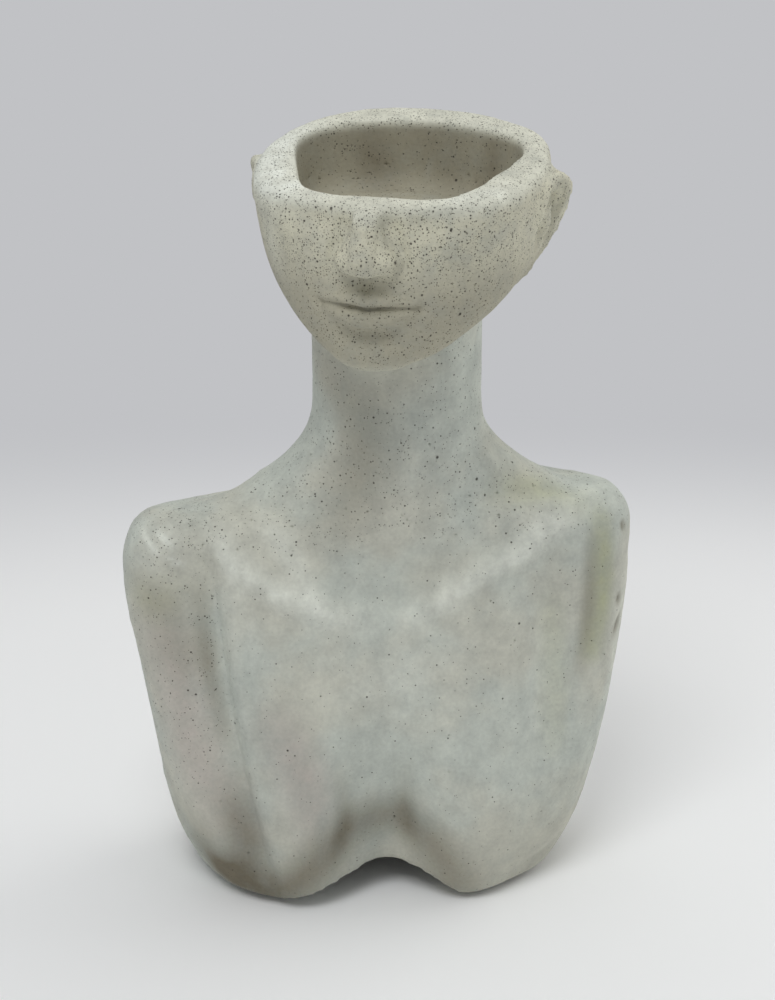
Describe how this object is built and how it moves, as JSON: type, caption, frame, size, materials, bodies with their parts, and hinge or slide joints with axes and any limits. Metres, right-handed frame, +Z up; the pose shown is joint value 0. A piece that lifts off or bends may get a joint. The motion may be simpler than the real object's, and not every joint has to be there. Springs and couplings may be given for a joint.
{
  "type": "head planter",
  "caption": "Cast concrete bust planter: a half head cut open at eye level as a planting well, on a long neck and cut shoulders, with a drain sleeve and stopper.",
  "frame": {"origin": "on the surface the planter stands on, at the middle of the part's plan box", "axes": "+Z up, -Y the way the chest faces, +X towards the bust's own left shoulder"},
  "size_m": [0.165, 0.0941, 0.2486],
  "materials": {
    "cast_concrete": "unsealed cast concrete, matt, with open air pits and faint streaks",
    "sleeve_plastic": "extruded tube, matt",
    "stopper_rubber": "moulded, matt",
    "pad_rubber": "cut sheet, matt"
  },
  "bodies": {
    "planter": {"bust_casting": "cast_concrete", "drain_sleeve": "sleeve_plastic", "foot_pad_front_left": "pad_rubber", "foot_pad_front_right": "pad_rubber", "foot_pad_rear_left": "pad_rubber", "foot_pad_rear_right": "pad_rubber"},
    "stopper": {"drain_stopper": "stopper_rubber"}
  },
  "joints": [
    {"name": "stopper_lift", "type": "slide", "parent": "planter", "child": "stopper", "axis": [0, 0, 1], "range_m": [0, 0.04]}
  ]
}
